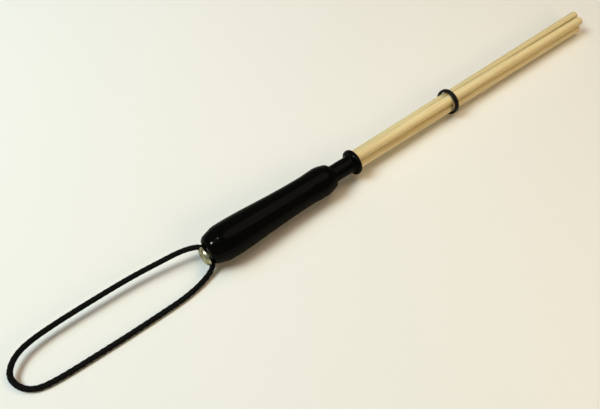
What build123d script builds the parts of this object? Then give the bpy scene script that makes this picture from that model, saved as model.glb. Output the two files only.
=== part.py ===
from build123d import *
import math
import os

# Three-dowel training stick: a turned grip, a narrow collar with a rounded lip, three thin wooden dowels
# gathered by a rubber ring, and a wrist cord held under a cup washer and a screw at the butt.
# Millimetres. The model is drawn along its own axis first, with x from the butt face to the tips,
# y to the left and z up, then laid on the table at the end: it rests on the belly of the grip and on the ring.

# ---- grip ---------------------------------------------------------------------------------------------
grip_length = 115.6
butt_face_r = 8.5            # flat face behind the washer
butt_shoulder_x = 3.2        # the butt rounds over quickly ...
butt_shoulder_r = 11.6
butt_round_x = 8.2           # ... and then more slowly
butt_round_r = 13.1
belly_x = 20.0               # thickest place, from the butt face
belly_r = 14.3
palm_x = 52.0
palm_r = 13.0
waist_from_front = 25.0      # slight waist behind the front bulge, from the front face
waist_r = 11.8
bulge_from_front = 12.2
bulge_r = 12.35
nose_from_front = 3.6        # front shoulder, on its way round to the front face
nose_r = 10.9
front_face_r = 7.9

# ---- collar -------------------------------------------------------------------------------------------
neck_r = 7.1
neck_length = 16.9           # straight part, from the grip's front face
lip_length = 8.0             # cove and bead together, after the neck
lip_r = 10.7
lip_round = 2.4              # rounding of the bead's front edge
bead_width = 1.0             # from the widest place back to where the cove begins to fall
cove_mid_x = 2.5             # a point on the cove, from the end of the neck
cove_mid_r = 8.25
spigot_r = 4.6               # glued into the grip's front end
spigot_length = 14.0
glue_gap = 0.1               # round the spigot and at its end
bore_end_web = 0.4           # air left past the dowels' ends in the collar

# ---- dowels -------------------------------------------------------------------------------------------
dowel_d = 7.94               # 5/16 inch
dowel_length = 305.0         # 12 inch
dowel_seat = 14.0            # length held in the collar
tenon_r = 4.9                # the three seated ends are turned down together to this radius
tenon_clearance = 0.15
shoulder_gap = 0.1           # between the dowels' shoulders and the lip's front face
dowel_gap = 0.22             # between neighbouring dowels where they leave the collar
bundle_offset_y = 0.8        # the bundle's middle stands this far off the grip's axis
bundle_roll = -16.0          # angle of the upper dowel round the bundle, from +y towards +z
third_turn = 120.0           # from one dowel to the next round the bundle
tip_round = 2.3
upper_lean = 0.90            # degrees; the upper dowel leaves the other two
upper_lean_dir = 51.0        # direction it leans in, from +y towards +z
lower_lean = 0.25
lower_lean_dir = -50.0
middle_lean = 0.10
middle_lean_dir = 205.0
upper_trim = 0.0             # how much shorter than the longest each dowel is
middle_trim = 5.6
lower_trim = 5.5

# ---- rubber ring --------------------------------------------------------------------------------------
ring_from_lip = 107.9        # middle of the ring, from the lip's front face
ring_width = 3.9             # along the stick
ring_thickness = 2.3
ring_round = 1.0             # rounding of the band's four edges
ring_clearance = 0.15        # all round the three dowels

# ---- washer and screw ---------------------------------------------------------------------------------
screw_y = -1.5               # the screw stands a little off the grip's axis
screw_z = -1.4
washer_gap = 0.1             # the washer stands this much further off the butt face than half the cord
washer_r = 7.5
washer_rim = 0.5
washer_height = 2.9
washer_crown_r = 5.6
washer_mouth_r = 4.7
washer_bend_x = 2.15         # a point on the washer's raised flank, out from its back
washer_bend_r = 6.7
screw_head_r = 4.4
screw_shank_r = 1.75
screw_length = 25.0          # from the butt face into the wood
screw_point = 4.0
screw_dome = 0.8
screw_edge = 0.25
screw_clearance = 0.05
slot_width = 1.1
slot_depth = 1.1
slot_angle = 35.0            # round the screw, from +y towards +z

# ---- wrist cord ---------------------------------------------------------------------------------------
cord_d = 4.0
cord_clearance = 0.2
groove_start_r = 2.6         # where each end of the cord stops, from the screw's axis
groove_start_x = 2.0         # and how deep in the butt
upper_groove_angle = -8.0    # round the screw, from +y towards +z
upper_groove_rise = (-0.2, 8.9)    # depth and radius of the point where the cord turns away from the groove
lower_groove_angle = 231.0
lower_groove_rise = (-0.15, 8.6)

# The loop, from the upper groove round to the lower one: x from the butt face, y from the axis, and the
# height of the cord's middle above the table.
cord_points = [
    (-6.2, 10.9, 12.1),
    (-15.3, 14.1, 11.2),
    (-31.0, 16.4, 9.6),
    (-54.5, 19.0, 8.3),
    (-85.5, 19.6, 7.7),
    (-111.5, 19.6, 7.15),
    (-129.5, 18.5, 6.9),
    (-139.8, 16.0, 6.6),
    (-146.8, 11.5, 6.1),
    (-151.3, 5.1, 4.8),
    (-150.4, -2.3, 2.8),
    (-146.4, -8.4, 2.05),
    (-139.4, -13.1, 2.05),
    (-126.0, -15.1, 2.05),
    (-101.5, -15.7, 2.05),
    (-75.0, -16.1, 2.05),
    (-51.0, -15.9, 2.05),
    (-34.5, -15.7, 2.05),
    (-22.5, -14.5, 2.2),
    (-12.9, -12.4, 2.7),
    (-5.0, -9.8, 3.6),
]

# ---- derived places along the axis --------------------------------------------------------------------
neck_end_x = grip_length + neck_length
lip_face_x = neck_end_x + lip_length
dowel_root_x = lip_face_x - dowel_seat
pivot_x = lip_face_x - dowel_seat / 2
shoulder_x = lip_face_x + shoulder_gap
tip_x = dowel_root_x + dowel_length
ring_x = lip_face_x + ring_from_lip
dowel_r = dowel_d / 2
cord_r = cord_d / 2


def revolve_about_axis(points_wire):
    """Solid of revolution about the stick's axis from a closed wire in the x-y plane."""
    return revolve(make_face(points_wire), axis=Axis.X)


# ---- grip ---------------------------------------------------------------------------------------------
waist_x = grip_length - waist_from_front
bulge_x = grip_length - bulge_from_front
nose_x = grip_length - nose_from_front

butt_curve = Spline(
    (0, butt_face_r),
    (butt_shoulder_x, butt_shoulder_r),
    (butt_round_x, butt_round_r),
    (belly_x, belly_r),
    tangents=[(0.35, 1.0), (1.0, 0.0)],
)
body_curve = Spline((belly_x, belly_r), (palm_x, palm_r), (waist_x, waist_r), tangents=[(1, 0), (1, 0)])
front_curve = Spline((waist_x, waist_r), (bulge_x, bulge_r), tangents=[(1, 0), (1, 0)])
nose_curve = Spline(
    (bulge_x, bulge_r),
    (nose_x, nose_r),
    (grip_length, front_face_r),
    tangents=[(1, 0), (0.1, -1.0)],
)
grip_outline = [
    butt_curve,
    body_curve,
    front_curve,
    nose_curve,
    Line((grip_length, front_face_r), (grip_length, 0)),
    Line((grip_length, 0), (0, 0)),
    Line((0, 0), (0, butt_face_r)),
]
grip = revolve_about_axis(grip_outline)


def along_axis(radius, x_start, x_end, y=0.0, z=0.0):
    """Cylinder parallel to the stick's axis between two places on it."""
    plane = Plane(origin=(x_start, y, z), x_dir=(0, 1, 0), z_dir=(1, 0, 0))
    return plane * Cylinder(radius, x_end - x_start, align=(Align.CENTER, Align.CENTER, Align.MIN))


spigot_bore = along_axis(spigot_r + glue_gap, grip_length - spigot_length - glue_gap, grip_length + lip_length)
screw_bore = along_axis(
    screw_shank_r + screw_clearance, -washer_height, screw_length + screw_clearance, y=screw_y, z=screw_z
)


def groove_line(angle, rise):
    """Start and turning point of the cord in one groove of the butt."""
    c = math.cos(math.radians(angle))
    s = math.sin(math.radians(angle))
    start = Vector(groove_start_x, screw_y + groove_start_r * c, screw_z + groove_start_r * s)
    turn = Vector(rise[0], screw_y + rise[1] * c, screw_z + rise[1] * s)
    return start, turn


def groove_cut(angle, rise):
    """Round-bottomed groove, open towards the butt face, for one leg of the cord."""
    start, turn = groove_line(angle, rise)
    direction = (turn - start).normalized()
    side = direction.cross(Vector(1, 0, 0)).normalized()
    outward = direction.cross(side).normalized()
    if outward.X > 0:
        outward = outward * -1
    begin = start - direction * cord_clearance
    plane = Plane(origin=begin, x_dir=outward, z_dir=direction)
    width = cord_d + 2 * cord_clearance
    reach = belly_r
    channel = Cylinder(width / 2, reach, align=(Align.CENTER, Align.CENTER, Align.MIN))
    opening = Box(reach, width, reach, align=(Align.MIN, Align.CENTER, Align.MIN))
    return plane * (channel + opening)


grip = grip - spigot_bore - screw_bore
grip = grip - groove_cut(upper_groove_angle, upper_groove_rise)
grip = grip - groove_cut(lower_groove_angle, lower_groove_rise)

# ---- collar -------------------------------------------------------------------------------------------
lip_top_x = lip_face_x - lip_round
bead_back_x = lip_top_x - bead_width
cove_curve = Spline(
    (neck_end_x, neck_r),
    (neck_end_x + cove_mid_x, cove_mid_r),
    (bead_back_x, lip_r),
    tangents=[(1, 0), (1, 0)],
)
lip_corner = (lip_top_x + lip_round * math.sin(math.pi / 4), lip_r - lip_round * (1 - math.cos(math.pi / 4)))
collar_outline = [
    Line((grip_length - spigot_length, 0), (grip_length - spigot_length, spigot_r)),
    Line((grip_length - spigot_length, spigot_r), (grip_length, spigot_r)),
    Line((grip_length, spigot_r), (grip_length, neck_r)),
    Line((grip_length, neck_r), (neck_end_x, neck_r)),
    cove_curve,
    Line((bead_back_x, lip_r), (lip_top_x, lip_r)),
    ThreePointArc((lip_top_x, lip_r), lip_corner, (lip_face_x, lip_r - lip_round)),
    Line((lip_face_x, lip_r - lip_round), (lip_face_x, 0)),
    Line((lip_face_x, 0), (grip_length - spigot_length, 0)),
]
collar = revolve_about_axis(collar_outline)
collar = collar - along_axis(
    tenon_r + tenon_clearance,
    dowel_root_x - bore_end_web,
    lip_face_x + lip_length,
    y=bundle_offset_y,
)

# ---- dowels -------------------------------------------------------------------------------------------
bundle_r = (dowel_d + dowel_gap) / 2 / math.sin(math.radians(third_turn / 2))


def dowel_seat_point(angle):
    """Middle of a dowel at the pivot plane inside the collar."""
    a = math.radians(angle)
    return (bundle_offset_y + bundle_r * math.cos(a), bundle_r * math.sin(a))


def dowel_slope(lean, direction):
    """Sideways travel of a leaning dowel for each millimetre along the stick."""
    d = math.radians(direction)
    t = math.tan(math.radians(lean))
    return (t * math.cos(d), t * math.sin(d))


def dowel_centre(seat, slope, x):
    """Middle of a dowel at a place along the stick."""
    return (seat[0] + slope[0] * (x - pivot_x), seat[1] + slope[1] * (x - pivot_x))


around_tenon = along_axis(3 * dowel_d, dowel_root_x - dowel_seat, shoulder_x, y=bundle_offset_y) - along_axis(
    tenon_r, dowel_root_x - dowel_seat, shoulder_x, y=bundle_offset_y
)


def make_dowel(seat, slope, trim):
    """One dowel with a rounded tip and its seated end turned down."""
    root_centre = dowel_centre(seat, slope, dowel_root_x)
    plane = Plane(
        origin=(dowel_root_x, root_centre[0], root_centre[1]),
        x_dir=(0, 1, 0),
        z_dir=(1, slope[0], slope[1]),
    )
    shaft = Cylinder(dowel_r, dowel_length - trim, align=(Align.CENTER, Align.CENTER, Align.MIN))
    shaft = fillet(shaft.edges().group_by(Axis.Z)[-1], tip_round)
    return plane * shaft - around_tenon


upper_seat = dowel_seat_point(bundle_roll)
middle_seat = dowel_seat_point(bundle_roll + third_turn)
lower_seat = dowel_seat_point(bundle_roll - third_turn)
upper_slope = dowel_slope(upper_lean, upper_lean_dir)
middle_slope = dowel_slope(middle_lean, middle_lean_dir)
lower_slope = dowel_slope(lower_lean, lower_lean_dir)
dowel_upper = make_dowel(upper_seat, upper_slope, upper_trim)
dowel_middle = make_dowel(middle_seat, middle_slope, middle_trim)
dowel_lower = make_dowel(lower_seat, lower_slope, lower_trim)


# ---- rubber ring: the smallest circle round the three dowels where it sits -----------------------------
def circle_through(a, b, c):
    """Centre and radius of the circle through three points."""
    d = 2 * (a[0] * (b[1] - c[1]) + b[0] * (c[1] - a[1]) + c[0] * (a[1] - b[1]))
    aa = a[0] ** 2 + a[1] ** 2
    bb = b[0] ** 2 + b[1] ** 2
    cc = c[0] ** 2 + c[1] ** 2
    y = (aa * (b[1] - c[1]) + bb * (c[1] - a[1]) + cc * (a[1] - b[1])) / d
    z = (aa * (c[0] - b[0]) + bb * (a[0] - c[0]) + cc * (b[0] - a[0])) / d
    return (y, z), math.hypot(a[0] - y, a[1] - z)


at_ring = [
    dowel_centre(upper_seat, upper_slope, ring_x),
    dowel_centre(middle_seat, middle_slope, ring_x),
    dowel_centre(lower_seat, lower_slope, ring_x),
]
ring_centre, reach_r = circle_through(*at_ring)
ring_inner_r = reach_r + dowel_r + ring_clearance
ring_outer_r = ring_inner_r + ring_thickness
band = Location((ring_x, ring_inner_r + ring_thickness / 2)) * RectangleRounded(ring_width, ring_thickness, ring_round)
o_ring = Location((0, ring_centre[0], ring_centre[1])) * revolve(band, axis=Axis.X)

# ---- cup washer and oval-head screw -------------------------------------------------------------------
seat_depth = washer_height - (washer_mouth_r - screw_shank_r - 2 * screw_clearance)
washer_outline = [
    Line((0, screw_shank_r + 2 * screw_clearance), (0, washer_r)),
    Line((0, washer_r), (-washer_rim, washer_r)),
    Spline(
        (-washer_rim, washer_r),
        (-washer_bend_x, washer_bend_r),
        (-washer_height, washer_crown_r),
        tangents=[(-1.0, -0.25), (-0.25, -1.0)],
    ),
    Line((-washer_height, washer_crown_r), (-washer_height, washer_mouth_r)),
    Line((-washer_height, washer_mouth_r), (-seat_depth, screw_shank_r + 2 * screw_clearance)),
    Line((-seat_depth, screw_shank_r + 2 * screw_clearance), (0, screw_shank_r + 2 * screw_clearance)),
]
washer_back_x = cord_r + washer_gap
cup_washer = Location((-washer_back_x, screw_y, screw_z)) * revolve_about_axis(washer_outline)

head_rim_x = washer_back_x + washer_height - (washer_mouth_r - screw_head_r) + screw_clearance
head_neck_x = head_rim_x - (screw_head_r - screw_shank_r)
dome_x = head_rim_x + screw_edge + screw_dome
dome_sag = screw_dome
dome_radius = (screw_head_r**2 + dome_sag**2) / (2 * dome_sag)
dome_half = math.asin(screw_head_r / dome_radius) / 2
dome_mid = (-(dome_x - dome_radius * (1 - math.cos(dome_half))), dome_radius * math.sin(dome_half))
screw_outline = [
    Line((screw_length, 0), (screw_length - screw_point, screw_shank_r)),
    Line((screw_length - screw_point, screw_shank_r), (-head_neck_x, screw_shank_r)),
    Line((-head_neck_x, screw_shank_r), (-head_rim_x, screw_head_r)),
    Line((-head_rim_x, screw_head_r), (-head_rim_x - screw_edge, screw_head_r)),
    ThreePointArc((-head_rim_x - screw_edge, screw_head_r), dome_mid, (-dome_x, 0)),
    Line((-dome_x, 0), (screw_length, 0)),
]
butt_screw = revolve_about_axis(screw_outline)
slot_box = Box(slot_depth, 3 * screw_head_r, slot_width, align=(Align.MIN, Align.CENTER, Align.CENTER))
butt_screw = butt_screw - Location((-dome_x, 0, 0), (slot_angle, 0, 0)) * slot_box
butt_screw = Location((0, screw_y, screw_z)) * butt_screw

# ---- laying the stick on the table --------------------------------------------------------------------
ring_low = ring_outer_r - ring_centre[1]
ring_contact_x = ring_x + ring_width / 2 - ring_round
tilt = math.degrees(math.atan2(belly_r - ring_low, ring_contact_x - belly_x))
tilt_c = math.cos(math.radians(tilt))
tilt_s = math.sin(math.radians(tilt))
lift = belly_r * tilt_c + belly_x * tilt_s
middle_x = (tip_x - dome_x) / 2 * tilt_c
lay = Location((-middle_x, 0, lift), (0, tilt, 0))


def laid(x, y, z):
    """A point of the drawing frame after the stick is laid on the table."""
    return Vector(x * tilt_c + z * tilt_s - middle_x, y, -x * tilt_s + z * tilt_c + lift)


# ---- wrist cord: straight runs joined by arcs -----------------------------------------------------------
upper_start, upper_turn = groove_line(upper_groove_angle, upper_groove_rise)
lower_start, lower_turn = groove_line(lower_groove_angle, lower_groove_rise)
route = [laid(upper_start.X, upper_start.Y, upper_start.Z), laid(upper_turn.X, upper_turn.Y, upper_turn.Z)]
route += [Vector(x - middle_x, y, z) for x, y, z in cord_points]
route += [laid(lower_turn.X, lower_turn.Y, lower_turn.Z), laid(lower_start.X, lower_start.Y, lower_start.Z)]


def corner_radii(points):
    """Arc radius at each corner of a route, as large as the two runs beside it allow."""
    radii = []
    for before, corner, after in zip(points, points[1:], points[2:]):
        turn = (corner - before).get_angle(after - corner)
        shorter = min((corner - before).length, (after - corner).length)
        radii.append(0.45 * shorter / math.tan(math.radians(turn / 2)))
    return radii


cord_radii = corner_radii(route)
cord_path = FilletPolyline(*route, radius=cord_radii)
cord_start_plane = Plane(origin=route[0], z_dir=(route[1] - route[0]).normalized())
wrist_cord = sweep(cord_start_plane * Circle(cord_r), path=cord_path)

# ---- files ----------------------------------------------------------------------------------------------
os.makedirs("parts", exist_ok=True)
nodes = {
    "grip": lay * grip,
    "collar": lay * collar,
    "dowel_upper": lay * dowel_upper,
    "dowel_middle": lay * dowel_middle,
    "dowel_lower": lay * dowel_lower,
    "o_ring": lay * o_ring,
    "cup_washer": lay * cup_washer,
    "butt_screw": lay * butt_screw,
    "wrist_cord": wrist_cord,
}
for name, shape in nodes.items():
    export_step(shape, "parts/" + name + ".step")

print("ring inner and outer radius", round(ring_inner_r, 3), round(ring_outer_r, 3), "centre", ring_centre)
print("tilt", round(tilt, 4), "lift", round(lift, 4), "middle_x", round(middle_x, 4), "tip_x", tip_x)
pivot = laid(pivot_x, upper_seat[0], upper_seat[1])
hinge = Vector(0, -math.sin(math.radians(upper_lean_dir)), math.cos(math.radians(upper_lean_dir)))
hinge_laid = Vector(hinge.Z * tilt_s, hinge.Y, hinge.Z * tilt_c)
print("slide axis", round(tilt_c, 6), 0, round(-tilt_s, 6))
print("dowel pivot", [round(v, 4) for v in pivot])
print("dowel hinge axis", [round(v, 6) for v in hinge_laid])
print("cord radii", [round(r, 1) for r in cord_radii])
print("cord runs", [round((b - a).length, 1) for a, b in zip(route, route[1:])])
print("cord length", round(cord_path.length, 2), "volume ratio",
      round(wrist_cord.volume / (math.pi * cord_r**2 * cord_path.length), 5))
for point in route:
    print("cord point", [round(v / 1000, 5) for v in point])
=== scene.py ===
# %% [markdown]
# # A three-dowel training stick, dressed for rendering
# The object is a turned handle in black gloss lacquer, a narrow collar with a rounded lip, three slim
# wooden dowels held together by a rubber ring, and a braided wrist loop clamped under a brass washer and
# screw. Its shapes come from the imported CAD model. This lesson adds what CAD leaves out: the braid of the
# cord, and a finish for every surface. Everything is in metres, with the table at height zero.

# %% The frame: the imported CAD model
import math

import bpy
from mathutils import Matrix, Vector


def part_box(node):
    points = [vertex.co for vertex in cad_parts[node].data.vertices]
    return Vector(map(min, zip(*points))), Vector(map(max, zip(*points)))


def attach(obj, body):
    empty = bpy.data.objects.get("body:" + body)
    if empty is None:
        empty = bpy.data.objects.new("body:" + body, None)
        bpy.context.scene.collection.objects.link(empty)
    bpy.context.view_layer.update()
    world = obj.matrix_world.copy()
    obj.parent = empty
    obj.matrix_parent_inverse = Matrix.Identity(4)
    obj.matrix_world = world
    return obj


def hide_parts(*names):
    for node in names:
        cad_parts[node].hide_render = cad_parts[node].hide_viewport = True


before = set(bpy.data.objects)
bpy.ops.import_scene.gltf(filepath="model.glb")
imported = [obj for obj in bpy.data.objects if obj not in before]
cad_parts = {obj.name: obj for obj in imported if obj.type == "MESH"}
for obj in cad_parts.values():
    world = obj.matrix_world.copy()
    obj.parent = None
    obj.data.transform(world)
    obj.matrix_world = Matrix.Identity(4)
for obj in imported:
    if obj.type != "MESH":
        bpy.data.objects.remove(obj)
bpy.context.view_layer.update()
print("nodes:", sorted(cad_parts))

# %% [markdown]
# ## Where things are
# The stick rests on the belly of its handle and on the ring, so its axis is a shallow slope, not a level
# line. Two CAD boxes give that line: the handle's box is as tall as its belly, and the collar's box is as
# wide as its lip. The washer and the screw have an axis of their own, a little off the handle's. Finishes
# that run round an axis, such as turning marks, are worked out from these.

# %% The stick's axis
grip_low, grip_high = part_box("grip")
collar_low, collar_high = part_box("collar")
washer_low, washer_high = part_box("cup_washer")
belly_from_butt = 0.020       # the thickest place of the handle, from its butt end
belly_x = grip_low.x + belly_from_butt
belly_height = (grip_low.z + grip_high.z) / 2
lip_x = collar_high.x
lip_height = collar_low.z + (collar_high.y - collar_low.y) / 2
axis_slope = (lip_height - belly_height) / (lip_x - belly_x)
tip_x = max(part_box(name)[1].x for name in ("dowel_upper", "dowel_middle", "dowel_lower"))


def axis_height(x):
    """Height of the stick's axis above the table at x."""
    return belly_height + axis_slope * (x - belly_x)


washer_off_y = (washer_low.y + washer_high.y) / 2
washer_off_z = (washer_low.z + washer_high.z) / 2 - axis_height((washer_low.x + washer_high.x) / 2)
print("belly at", round(belly_x, 4), "height", round(belly_height, 5), "slope", round(axis_slope, 5))
print("washer off the axis by", round(washer_off_y, 5), round(washer_off_z, 5))
print("dowel tips at", round(tip_x, 4))

# %% [markdown]
# ## The camera
# A camera is best settled before any finish, because it decides how large each detail shows. This one looks
# down at the stick from above the wrist loop, so the loop lies in the near corner and the dowels run away
# into the far one. The lens is a little longer than a normal one.

# %% Camera
camera_data = bpy.data.cameras.new("camera")
camera_data.sensor_width = 36.0
camera_data.lens = 34.2
camera_data.clip_start = 0.01
camera_data.clip_end = 20.0
camera = bpy.data.objects.new("camera", camera_data)
bpy.context.collection.objects.link(camera)
camera_down = math.radians(56.67)
camera_heading = math.radians(52.84)
camera.location = (-0.27912, -0.19907, 0.37940)
camera.rotation_euler = (math.pi / 2 - camera_down, 0.0, camera_heading - math.pi / 2)
bpy.context.scene.camera = camera
print("camera at", tuple(round(v, 4) for v in camera.location))

# %% [markdown]
# ## The wrist cord's route
# A cord looks real when its line does: both ends come out sideways from under the washer, one leg sinks
# slowly from the butt to the far end of the loop, and the other lies on the table all the way back. A NURBS
# spline through the listed control points gives one smooth curve with no corners. The order is set after
# the points are added, or Blender keeps the spline at straight runs.

# %% Route of the cord
cord_diameter = 0.004
cord_points = [
    (-0.21086, 0.00107, 0.01274),
    (-0.21314, 0.00709, 0.01229),
    (-0.21919, 0.01039, 0.01300),
    (-0.22832, 0.01335, 0.01250),
    (-0.24397, 0.01558, 0.01100),
    (-0.26738, 0.01818, 0.00970),
    (-0.29827, 0.01878, 0.00910),
    (-0.32417, 0.01878, 0.00855),
    (-0.34210, 0.01768, 0.00830),
    (-0.35238, 0.01525, 0.00790),
    (-0.35938, 0.01082, 0.00730),
    (-0.36394, 0.00461, 0.00570),
    (-0.36317, -0.00246, 0.00310),
    (-0.35924, -0.00840, 0.00218),
    (-0.35224, -0.01310, 0.00218),
    (-0.33884, -0.01510, 0.00218),
    (-0.31434, -0.01570, 0.00218),
    (-0.28784, -0.01610, 0.00218),
    (-0.26384, -0.01590, 0.00218),
    (-0.24734, -0.01570, 0.00218),
    (-0.23534, -0.01450, 0.00230),
    (-0.22574, -0.01240, 0.00270),
    (-0.21784, -0.00980, 0.00360),
    (-0.21308, -0.00691, 0.00645),
    (-0.21088, -0.00314, 0.01109),
]
print("control points of the route:", len(cord_points))

# %% The spline through the route
points_per_span = 24          # how finely Blender reads the spline between two control points


def nurbs_route(name, points):
    """A smooth open spline with the given control points."""
    data = bpy.data.curves.new(name, "CURVE")
    data.dimensions = "3D"
    data.resolution_u = points_per_span
    spline = data.splines.new("NURBS")
    spline.points.add(len(points) - 1)
    for control, place in zip(spline.points, points):
        control.co = (*place, 1.0)
    spline.order_u = 3
    spline.use_endpoint_u = True
    route = bpy.data.objects.new(name, data)
    bpy.context.collection.objects.link(route)
    return route


def points_along(route):
    """The places that Blender gives for a curve with no thickness."""
    depsgraph = bpy.context.evaluated_depsgraph_get()
    mesh = bpy.data.meshes.new_from_object(route.evaluated_get(depsgraph))
    places = [vertex.co.copy() for vertex in mesh.vertices]
    bpy.data.meshes.remove(mesh)
    return places


cord_route = nurbs_route("cord_route", cord_points)
raw_line = points_along(cord_route)
bpy.data.objects.remove(cord_route)
print("points read along the route:", len(raw_line))


# %% Even steps along the cord
def even_steps(line, step):
    """The same line with its points a fixed distance apart."""
    lengths = [0.0]
    for a, b in zip(line, line[1:]):
        lengths.append(lengths[-1] + (b - a).length)
    count = max(2, round(lengths[-1] / step))
    stepped, i = [], 0
    for k in range(count + 1):
        target = lengths[-1] * k / count
        while i < len(line) - 2 and lengths[i + 1] < target:
            i += 1
        span = lengths[i + 1] - lengths[i]
        t = 0.0 if span == 0 else (target - lengths[i]) / span
        stepped.append(line[i].lerp(line[i + 1], t))
    return stepped, lengths[-1]


cord_step = 0.0005
cord_line, cord_length = even_steps(raw_line, cord_step)
print("cord length:", round(cord_length * 1000, 1), "mm in", len(cord_line), "steps")

# %% [markdown]
# ## Braiding the cord
# The real cord is a round braid: half of its strands wind one way and half the other, each passing over and
# under those that it meets. A picture of a braid on a smooth tube would look flat at the edges, so the
# strands are modelled. Each one is a thin oval tube whose centre circles the route and moves in and out
# once for every pair of crossings. A plain core as wide as the circle of the strands' centres fills the
# middle, so no light comes through.

# %% Frames that follow the route without twisting
def carried_frames(line):
    """Two directions across the line at each point, carried along with no twist of their own."""
    tangents = []
    for i in range(len(line)):
        ahead = line[min(i + 1, len(line) - 1)]
        behind = line[max(i - 1, 0)]
        tangents.append((ahead - behind).normalized())
    side = tangents[0].orthogonal().normalized()
    frames = []
    for tangent in tangents:
        side = (side - tangent * side.dot(tangent)).normalized()
        frames.append((side.copy(), tangent.cross(side)))
    return tangents, frames


tangents, frames = carried_frames(cord_line)
print("frames along the cord:", len(frames))

# %% Sizes of the braid
strands_each_way = 4
braid_pitch = 0.0190          # length in which a strand goes once round
strand_half_width = 0.00095
strand_half_depth = 0.00045
weave_travel = 0.00018        # how far a strand moves in and out as it crosses the others
crest_height = 0.00014        # how far the strands' crests stand past the cord's measured size
braid_radius = cord_diameter / 2 - strand_half_depth - weave_travel + crest_height
strand_sides = 10
core_sides = 12
print("strand centres circle the route at", round(braid_radius * 1000, 3), "mm")


# %% Rings of a strand and of the core
def oval(centre, first, first_half, second, second_half, sides):
    """Points of an oval round a centre, with a direction and a half size for each of its two axes."""
    angles = [2 * math.pi * k / sides for k in range(sides)]
    return [
        centre + first * (first_half * math.cos(a)) + second * (second_half * math.sin(a))
        for a in angles
    ]


def strand_rings(turn, start):
    """Rings of one strand. turn is +1 or -1, and start is its place round the cord."""
    rings = []
    step = cord_length / (len(cord_line) - 1)
    for i, place in enumerate(cord_line):
        wound = 2 * math.pi * step * i / braid_pitch
        angle = turn * wound + start
        radius = braid_radius + turn * weave_travel * math.cos(strands_each_way * wound)
        side, up = frames[i]
        outward = side * math.cos(angle) + up * math.sin(angle)
        around = up * math.cos(angle) - side * math.sin(angle)
        centre = place + outward * radius
        lay = (tangents[i] + around * (turn * 2 * math.pi * radius / braid_pitch)).normalized()
        across = outward.cross(lay).normalized()
        rings.append(oval(centre, across, strand_half_width, outward, strand_half_depth, strand_sides))
    return rings


def core_rings(radius):
    """Rings of the plain core under the strands."""
    return [
        oval(place, side, radius, up, radius, core_sides)
        for place, (side, up) in zip(cord_line, frames)
    ]


print("a strand has", len(strand_rings(1, 0.0)), "rings")


# %% The braid's mesh
def tube_rings(vertices, faces, rings, sides):
    """Joins rings of points into a closed tube and adds it to the mesh lists."""
    base = len(vertices)
    for ring in rings:
        vertices.extend(ring)
    for i in range(len(rings) - 1):
        for j in range(sides):
            k = (j + 1) % sides
            a = base + i * sides
            b = a + sides
            faces.append((a + j, a + k, b + k, b + j))
    faces.append(tuple(base + j for j in reversed(range(sides))))
    last = base + (len(rings) - 1) * sides
    faces.append(tuple(last + j for j in range(sides)))


vertices, faces = [], []
tube_rings(vertices, faces, core_rings(braid_radius), core_sides)
for k in range(strands_each_way):
    around_start = 2 * math.pi * k / strands_each_way
    tube_rings(vertices, faces, strand_rings(1, around_start), strand_sides)
    tube_rings(vertices, faces, strand_rings(-1, around_start), strand_sides)
braid_mesh = bpy.data.meshes.new("braided_cord")
braid_mesh.from_pydata([tuple(v) for v in vertices], [], faces)
braid_mesh.update()
braid_mesh.polygons.foreach_set("use_smooth", [True] * len(braid_mesh.polygons))
braided_cord = bpy.data.objects.new("braided_cord", braid_mesh)
bpy.context.collection.objects.link(braided_cord)
print("braid:", len(braid_mesh.vertices), "points,", len(braid_mesh.polygons), "faces")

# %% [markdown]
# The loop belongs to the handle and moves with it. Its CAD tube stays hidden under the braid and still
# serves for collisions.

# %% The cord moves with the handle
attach(braided_cord, "handle")
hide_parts("wrist_cord")
print("cord declared, drawn length", round(cord_length, 4), "m")

# %% [markdown]
# ## Helpers for building finishes
# A finish is a small network of nodes, and a few helpers keep its cell short. Some add nodes and link them,
# some start or place a node group, and the last ones do what nearly every finish needs: a roughness that
# varies, a bump, and a place in the material slots. A group is for an effect that several finishes share,
# so it is built once and placed in each of them with its own values.

# %% Node helpers
def add_node(tree, kind, values=(), **settings):
    """A new node with settings by name and input values by socket name."""
    node = tree.nodes.new(kind)
    for key, value in settings.items():
        setattr(node, key, value)
    for socket, value in dict(values).items():
        node.inputs[socket].default_value = value
    return node


def join(tree, source, target):
    """Links an output socket to an input socket."""
    tree.links.new(source, target)


def new_finish(name):
    """A material with an empty tree, its shader and its output."""
    material = bpy.data.materials.new(name)
    material.use_nodes = True
    tree = material.node_tree
    tree.nodes.clear()
    output = add_node(tree, "ShaderNodeOutputMaterial")
    shader = add_node(tree, "ShaderNodeBsdfPrincipled")
    join(tree, shader.outputs["BSDF"], output.inputs["Surface"])
    return material, tree, shader


print("helpers for nodes, links and materials are ready")


# %% Helpers for node groups
def new_group(name, inputs, outputs):
    """A shader node group with float, vector or colour sockets."""
    group = bpy.data.node_groups.new(name, "ShaderNodeTree")
    kinds = {"float": "NodeSocketFloat", "vector": "NodeSocketVector", "colour": "NodeSocketColor"}
    for label, kind, value in inputs:
        socket = group.interface.new_socket(name=label, in_out="INPUT", socket_type=kinds[kind])
        socket.default_value = value
    for label, kind in outputs:
        group.interface.new_socket(name=label, in_out="OUTPUT", socket_type=kinds[kind])
    start = add_node(group, "NodeGroupInput")
    end = add_node(group, "NodeGroupOutput")
    return group, start, end


def place_group(tree, group, **values):
    """An instance of a node group with its own input values."""
    node = add_node(tree, "ShaderNodeGroup", node_tree=group)
    for key, value in values.items():
        node.inputs[key.replace("_", " ").capitalize()].default_value = value
    return node


print("helpers for node groups are ready")


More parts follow.
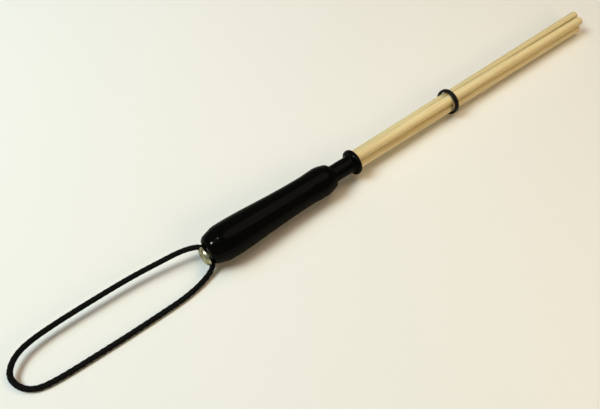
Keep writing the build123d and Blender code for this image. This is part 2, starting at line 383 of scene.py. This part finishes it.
# %% Helpers that most finishes need
def ramp(tree, source, stops):
    """A colour ramp fed by a value, with stops of (position, colour)."""
    node = add_node(tree, "ShaderNodeValToRGB")
    band = node.color_ramp
    while len(band.elements) < len(stops):
        band.elements.new(0.5)
    for element, (position, colour) in zip(band.elements, stops):
        element.position = position
        element.color = (*colour, 1.0)
    join(tree, source, node.inputs["Fac"])
    return node


def roughness_between(tree, shader, source, low, high):
    """Spreads a noise over the shader's roughness. Noise hardly leaves the middle, so that part is used."""
    spread = add_node(
        tree,
        "ShaderNodeMapRange",
        {"From Min": 0.3, "From Max": 0.7, "To Min": low, "To Max": high},
    )
    join(tree, source, spread.inputs["Value"])
    join(tree, spread.outputs["Result"], shader.inputs["Roughness"])


def bumped(tree, height, strength, distance, under=None):
    """The normal of a bump made from a height, laid over another normal if one is given."""
    bump = add_node(tree, "ShaderNodeBump", {"Strength": strength, "Distance": distance})
    join(tree, height, bump.inputs["Height"])
    if under is not None:
        join(tree, under, bump.inputs["Normal"])
    return bump.outputs["Normal"]


def dress(material, *names):
    """Gives CAD nodes this finish in place of their plain one."""
    for name in names:
        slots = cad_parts[name].data.materials
        slots.clear()
        slots.append(material)
    print("finish:", material.name, "on", ", ".join(names))


print("helpers for colour, roughness, bump and slots are ready")

# %% [markdown]
# ## Shared effect: marks left by turning
# The handle, the collar, the washer and the screw were all made on a lathe, and a lathe leaves faint rings
# round the axis. The rings need a position that grows along the axis on the sides and with the radius on
# the faces. Distance along the axis minus distance from it does both, and stretched noise over that
# position gives uneven rings.

# %% Turning marks
turning, start, end = new_group(
    "Turning marks",
    [("Scale", "float", 900.0), ("Off y", "float", 0.0), ("Off z", "float", 0.0)],
    [("Marks", "float")],
)
coordinates = add_node(turning, "ShaderNodeTexCoord")
parts = add_node(turning, "ShaderNodeSeparateXYZ")
join(turning, coordinates.outputs["Object"], parts.inputs["Vector"])
axis_at = add_node(
    turning,
    "ShaderNodeMath",
    {1: axis_slope, 2: axis_height(0.0)},
    operation="MULTIPLY_ADD",
)
join(turning, parts.outputs["X"], axis_at.inputs[0])
above = add_node(turning, "ShaderNodeMath", operation="SUBTRACT")
join(turning, parts.outputs["Z"], above.inputs[0])
join(turning, axis_at.outputs[0], above.inputs[1])
across = add_node(turning, "ShaderNodeCombineXYZ")
for label, source, target in (("Off y", parts.outputs["Y"], "X"), ("Off z", above.outputs[0], "Y")):
    moved = add_node(turning, "ShaderNodeMath", operation="SUBTRACT")
    join(turning, source, moved.inputs[0])
    join(turning, start.outputs[label], moved.inputs[1])
    join(turning, moved.outputs[0], across.inputs[target])
radius = add_node(turning, "ShaderNodeVectorMath", operation="LENGTH")
join(turning, across.outputs[0], radius.inputs[0])
along = add_node(turning, "ShaderNodeMath", operation="SUBTRACT")
join(turning, parts.outputs["X"], along.inputs[0])
join(turning, radius.outputs["Value"], along.inputs[1])
rings = add_node(turning, "ShaderNodeTexNoise", {"Detail": 3.0}, noise_dimensions="1D")
join(turning, along.outputs[0], rings.inputs["W"])
join(turning, start.outputs["Scale"], rings.inputs["Scale"])
join(turning, rings.outputs[0], end.inputs["Marks"])
print("group:", turning.name)

# %% [markdown]
# ## Shared effect: mottling
# No real surface is equally shiny all over: hands, dust and polish leave soft patches and fine specks. This
# group mixes a broad and a fine noise, and the finishes use it to vary their roughness a little.

# %% Mottling
mottling, start, end = new_group(
    "Mottling",
    [("Broad", "float", 60.0), ("Fine", "float", 900.0), ("Seed", "float", 0.0)],
    [("Patches", "float"), ("Specks", "float")],
)
coordinates = add_node(mottling, "ShaderNodeTexCoord")
for label, socket, detail in (("Patches", "Broad", 3.0), ("Specks", "Fine", 2.0)):
    noise = add_node(mottling, "ShaderNodeTexNoise", {"Detail": detail}, noise_dimensions="4D")
    join(mottling, coordinates.outputs["Object"], noise.inputs["Vector"])
    join(mottling, start.outputs[socket], noise.inputs["Scale"])
    join(mottling, start.outputs["Seed"], noise.inputs["W"])
    join(mottling, noise.outputs[0], end.inputs[label])
print("group:", mottling.name)

# %% [markdown]
# ## Black gloss lacquer
# The handle and collar are wood under several coats of black lacquer. The colour coat is almost black with
# a trace of brown, and the shine comes from a clear coat over it. Lacquer is brushed or dipped, so it has
# long soft waves, and the rings of the turned wood show through it very faintly.

# %% Lacquer on the handle and collar
lacquer, tree, shader = new_finish("black_gloss_lacquer")
rings = place_group(tree, turning, Scale=700.0)
patches = place_group(tree, mottling, Broad=90.0, Fine=1400.0)
depth = ramp(
    tree,
    patches.outputs["Patches"],
    [(0.30, (0.0008, 0.0007, 0.0006)), (0.75, (0.0018, 0.0014, 0.0011))],
)
join(tree, depth.outputs["Color"], shader.inputs["Base Color"])
roughness_between(tree, shader, patches.outputs["Specks"], 0.18, 0.28)
ringed = bumped(tree, rings.outputs["Marks"], 0.25, 0.00004)
waved = bumped(tree, patches.outputs["Patches"], 0.35, 0.00025, under=ringed)
join(tree, waved, shader.inputs["Normal"])
shader.inputs["Specular IOR Level"].default_value = 0.012
shader.inputs["Coat Weight"].default_value = 0.22
shader.inputs["Coat Roughness"].default_value = 0.08
dress(lacquer, "grip", "collar")

# %% [markdown]
# ## Pale wooden dowels
# Dowels are milled along the grain of a pale hardwood, so the grain shows as fine lines from end to end,
# with slow changes from creamy to honey yellow. Growth rings cut lengthwise make a few broader streaks. On
# the rounded tips the same fibres are seen end on, as darker pores. One group makes the pattern, and each
# dowel gets its own seed, since no two come from the same plank. Each dowel's colour is also scaled on its
# own, and that is painted light: the upper dowel, full in the lamp's light, is made darker, and the lower
# one, in the shade of the middle one, is made lighter and bluer.

# %% Straight grain
grain, start, end = new_group(
    "Straight grain",
    [("Seed", "float", 0.0)],
    [("Fibres", "float"), ("Rings", "float"), ("Tone", "float"), ("Tip", "float")],
)
coordinates = add_node(grain, "ShaderNodeTexCoord")
shifted = add_node(grain, "ShaderNodeVectorMath", operation="ADD")
offset = add_node(grain, "ShaderNodeCombineXYZ")
join(grain, start.outputs["Seed"], offset.inputs["X"])
join(grain, start.outputs["Seed"], offset.inputs["Z"])
join(grain, coordinates.outputs["Object"], shifted.inputs[0])
join(grain, offset.outputs[0], shifted.inputs[1])


def stretched_noise(stretch, detail, roughness):
    """Noise drawn out along the dowel."""
    scaled = add_node(grain, "ShaderNodeVectorMath", {1: stretch}, operation="MULTIPLY")
    join(grain, shifted.outputs[0], scaled.inputs[0])
    noise = add_node(grain, "ShaderNodeTexNoise", {"Scale": 1.0, "Detail": detail, "Roughness": roughness})
    join(grain, scaled.outputs[0], noise.inputs["Vector"])
    return noise


fibres = stretched_noise((22.0, 2300.0, 2300.0), 4.0, 0.65)
join(grain, fibres.outputs[0], end.inputs["Fibres"])
bands = stretched_noise((5.0, 420.0, 420.0), 2.0, 0.5)
join(grain, bands.outputs[0], end.inputs["Rings"])
tone = stretched_noise((14.0, 60.0, 60.0), 2.0, 0.5)
join(grain, tone.outputs[0], end.inputs["Tone"])
parts = add_node(grain, "ShaderNodeSeparateXYZ")
join(grain, coordinates.outputs["Object"], parts.inputs["Vector"])
tip_starts = 0.0022           # from the tip back to where the end grain begins
tip_is_full = 0.0004          # and to where it is all that shows
tip_mask = add_node(
    grain,
    "ShaderNodeMapRange",
    {"From Min": tip_x - tip_starts, "From Max": tip_x - tip_is_full, "To Min": 0.0, "To Max": 1.0},
)
join(grain, parts.outputs["X"], tip_mask.inputs["Value"])
join(grain, tip_mask.outputs["Result"], end.inputs["Tip"])
print("group:", grain.name)

# %% A finish for each dowel
# Painted light: each dowel's colour scale makes the lit upper dowel darker and the shaded lower one lighter
# and bluer.
dowel_seeds_and_painted_light = {
    "dowel_upper": (0.31, (0.87, 0.92, 0.94)),
    "dowel_middle": (1.73, (0.96, 1.01, 1.03)),
    "dowel_lower": (2.94, (1.03, 1.10, 1.22)),
}


def dowel_finish(name, seed, painted_light_tint):
    """Pale straight-grained wood with its own seed, its colour scaled to paint the light and shade on it.
    """
    material, tree, shader = new_finish(name)
    pattern = place_group(tree, grain, Seed=seed)
    fibre_colour = ramp(
        tree,
        pattern.outputs["Fibres"],
        [(0.28, (0.78, 0.56, 0.24)), (0.46, (0.88, 0.69, 0.35)), (0.70, (0.94, 0.77, 0.43))],
    )
    ring_colour = ramp(
        tree,
        pattern.outputs["Rings"],
        [(0.34, (0.86, 0.80, 0.70)), (0.50, (1.0, 1.0, 1.0)), (0.66, (0.95, 0.91, 0.84))],
    )
    ringed = add_node(tree, "ShaderNodeMix", {0: 1.0}, data_type="RGBA", blend_type="MULTIPLY")
    join(tree, fibre_colour.outputs["Color"], ringed.inputs[6])
    join(tree, ring_colour.outputs["Color"], ringed.inputs[7])
    # The dowel's colour is scaled here: painted light, darker on the lit dowel and lighter on the shaded
    # one.
    darker_painted_light_tint = tuple(0.93 * t for t in painted_light_tint)
    tone_and_painted_light = ramp(tree, pattern.outputs["Tone"], [(0.30, darker_painted_light_tint), (0.70, painted_light_tint)])
    toned_and_painted_light = add_node(tree, "ShaderNodeMix", {0: 1.0}, data_type="RGBA", blend_type="MULTIPLY")
    join(tree, ringed.outputs[2], toned_and_painted_light.inputs[6])
    join(tree, tone_and_painted_light.outputs["Color"], toned_and_painted_light.inputs[7])
    end_grain = add_node(tree, "ShaderNodeMix", {7: (0.60, 0.42, 0.21, 1.0)}, data_type="RGBA")
    join(tree, pattern.outputs["Tip"], end_grain.inputs[0])
    join(tree, toned_and_painted_light.outputs[2], end_grain.inputs[6])
    join(tree, end_grain.outputs[2], shader.inputs["Base Color"])
    roughness_between(tree, shader, pattern.outputs["Fibres"], 0.58, 0.42)
    join(tree, bumped(tree, pattern.outputs["Fibres"], 0.5, 0.00008), shader.inputs["Normal"])
    return material


for name, (seed, painted_light_tint) in dowel_seeds_and_painted_light.items():
    dress(dowel_finish("pale_wood_" + name.split("_")[1], seed, painted_light_tint), name)

# %% [markdown]
# ## Rubber ring
# A moulded rubber ring is nearly black with a soft, dull shine and a bloom of fine dust. The shine is kept
# broad by a high roughness, and the bloom is a slightly paler black in soft patches.

# %% Rubber
rubber, tree, shader = new_finish("black_rubber")
patches = place_group(tree, mottling, Broad=260.0, Fine=2600.0, Seed=4.0)
bloom = ramp(
    tree,
    patches.outputs["Patches"],
    [(0.35, (0.003, 0.003, 0.003)), (0.75, (0.008, 0.0075, 0.006))],
)
join(tree, bloom.outputs["Color"], shader.inputs["Base Color"])
roughness_between(tree, shader, patches.outputs["Specks"], 0.36, 0.52)
join(tree, bumped(tree, patches.outputs["Specks"], 0.3, 0.00003), shader.inputs["Normal"])
shader.inputs["Specular IOR Level"].default_value = 0.22
dress(rubber, "o_ring")

# %% [markdown]
# ## Brass
# The washer and screw are polished brass. Metal has no colour of its own apart from its reflection, so the
# base colour is the tint of that reflection. Turning rings stretch the highlights, and a little tarnish
# gathers in patches.

# %% Brass on the washer and screw
brass, tree, shader = new_finish("polished_brass")
rings = place_group(tree, turning, Scale=1600.0, Off_y=washer_off_y, Off_z=washer_off_z)
patches = place_group(tree, mottling, Broad=320.0, Fine=2000.0, Seed=7.0)
tarnish = ramp(tree, patches.outputs["Patches"], [(0.35, (0.80, 0.73, 0.38)), (0.60, (0.95, 0.91, 0.62))])
join(tree, tarnish.outputs["Color"], shader.inputs["Base Color"])
shader.inputs["Metallic"].default_value = 1.0
roughness_between(tree, shader, rings.outputs["Marks"], 0.20, 0.32)
join(tree, bumped(tree, rings.outputs["Marks"], 0.3, 0.00003), shader.inputs["Normal"])
dress(brass, "cup_washer", "butt_screw")

# %% [markdown]
# ## The cord's yarn
# Black braided nylon or cotton is matt, with a faint sheen where stray fibres catch the light at the
# edges. Fine noise stands for the single filaments in each strand.

# %% Yarn
yarn, tree, shader = new_finish("black_braid_yarn")
patches = place_group(tree, mottling, Broad=500.0, Fine=5200.0, Seed=2.0)
fibre = ramp(
    tree,
    patches.outputs["Specks"],
    [(0.30, (0.0015, 0.0015, 0.0013)), (0.72, (0.0060, 0.0058, 0.0048))],
)
join(tree, fibre.outputs["Color"], shader.inputs["Base Color"])
shader.inputs["Roughness"].default_value = 0.78
shader.inputs["Sheen Weight"].default_value = 0.03
shader.inputs["Sheen Roughness"].default_value = 0.5
shader.inputs["Sheen Tint"].default_value = (0.35, 0.35, 0.34, 1.0)
shader.inputs["Specular IOR Level"].default_value = 0.12
join(tree, bumped(tree, patches.outputs["Specks"], 0.6, 0.00006), shader.inputs["Normal"])
braided_cord.data.materials.append(yarn)
print("finish:", yarn.name)

# %% [markdown]
# ## Table and light
# The stick lies on a plain off-white sheet. One lamp stands high behind the wrist loop and throws the
# clear shadows. Two broad panels hang overhead, a warm one beyond the collar, like a room lamp, and a cool
# one behind the loop, like a window. They soften those shadows, and their mix turns the sheet from a cool
# white at the loop to a warm one at the dowels. A low, weak, warm lamp lifts the near side of the dowels.
#
# Black lacquer shows every lamp as a bright patch, and a broad one greys it all over. So what lights the
# surfaces is kept apart from what shows in gloss: the panels and the key lamp are left out of reflections,
# a small lamp makes the one glint on the butt, a weak card makes the soft band along the grip, and the
# sheet looks darker in reflections than it does to the eye.

# %% The table
table_half = 3.0
table_corners = [(x * table_half, y * table_half, 0.0) for x, y in ((-1, -1), (1, -1), (1, 1), (-1, 1))]
table_mesh = bpy.data.meshes.new("table_sheet")
table_mesh.from_pydata(table_corners, [], [(0, 1, 2, 3)])
table_sheet = bpy.data.objects.new("table_sheet", table_mesh)
bpy.context.collection.objects.link(table_sheet)
paper, tree, shader = new_finish("off_white_sheet")
light_path = add_node(tree, "ShaderNodeLightPath")
sheet_colour = add_node(
    tree,
    "ShaderNodeMix",
    {6: (0.86, 0.85, 0.78, 1.0), 7: (0.38, 0.38, 0.32, 1.0)},
    data_type="RGBA",
)
join(tree, light_path.outputs["Is Glossy Ray"], sheet_colour.inputs[0])
join(tree, sheet_colour.outputs[2], shader.inputs["Base Color"])
shader.inputs["Roughness"].default_value = 0.9
shader.inputs["Specular IOR Level"].default_value = 0.1
table_mesh.materials.append(paper)
print("table ready")

# %% Lamps
handle_middle = (-0.1, 0.0, 0.0)
dowels_middle = (0.06, 0.0, 0.0)


def lamp(name, towards, distance, size, watts, colour, aim=handle_middle, spread=180.0, gloss=False):
    """A round area lamp in a direction from its aim. It either lights surfaces or shows in gloss."""
    data = bpy.data.lights.new(name, "AREA")
    data.shape = "DISK"
    data.size = size
    data.energy = watts
    data.color = colour
    data.spread = math.radians(spread)
    light = bpy.data.objects.new(name, data)
    bpy.context.collection.objects.link(light)
    direction = Vector(towards).normalized()
    light.location = Vector(aim) + direction * distance
    light.rotation_euler = (-direction).to_track_quat("-Z", "Y").to_euler()
    light.visible_glossy = gloss
    light.visible_diffuse = not gloss
    print("lamp:", name, "shows in gloss" if gloss else "lights surfaces")


lamp("key_lamp", (-0.54, 0.26, 0.80), 1.6, 0.66, 14.1, (0.94, 1.0, 0.91))
lamp("key_glint", (-0.50, 0.17, 0.84), 1.6, 0.24, 11.0, (1.0, 1.0, 0.96), gloss=True)
lamp("warm_panel", (0.42, 0.15, 0.90), 1.4, 1.2, 7.7, (1.0, 0.735, 0.508))
lamp("warm_card", (0.42, -0.08, 0.90), 1.2, 1.1, 1.4, (1.0, 0.90, 0.80), gloss=True)
lamp("cool_panel", (-0.42, 0.42, 0.80), 1.5, 1.0, 8.8, (0.500, 0.725, 1.0))
lamp(
    "dowel_fill",
    (0.05, -0.80, 0.52),
    0.90,
    0.50,
    1.6,
    (1.0, 0.79, 0.52),
    aim=dowels_middle,
    spread=150.0,
)

# %% [markdown]
# ## The sky
# A world can light the scene from all round and also be seen. Here the two are kept apart with Light Path:
# for what the camera and gloss see, the sky is a dim grey, and as a light it is nearly off.

# %% Sky
sky_as_light = 0.015
sky_seen_more = 0.12
sky = bpy.data.worlds.new("sky")
bpy.context.scene.world = sky
sky.use_nodes = True
tree = sky.node_tree
background = tree.nodes["Background"]
background.inputs["Color"].default_value = (1.0, 1.0, 0.97, 1.0)
light_path = add_node(tree, "ShaderNodeLightPath")
seen = add_node(tree, "ShaderNodeMath", operation="MAXIMUM")
join(tree, light_path.outputs["Is Camera Ray"], seen.inputs[0])
join(tree, light_path.outputs["Is Glossy Ray"], seen.inputs[1])
brightness = add_node(tree, "ShaderNodeMath", {1: sky_seen_more, 2: sky_as_light}, operation="MULTIPLY_ADD")
join(tree, seen.outputs[0], brightness.inputs[0])
join(tree, brightness.outputs[0], background.inputs["Strength"])
bpy.context.scene.view_settings.view_transform = "Standard"
print("sky ready")
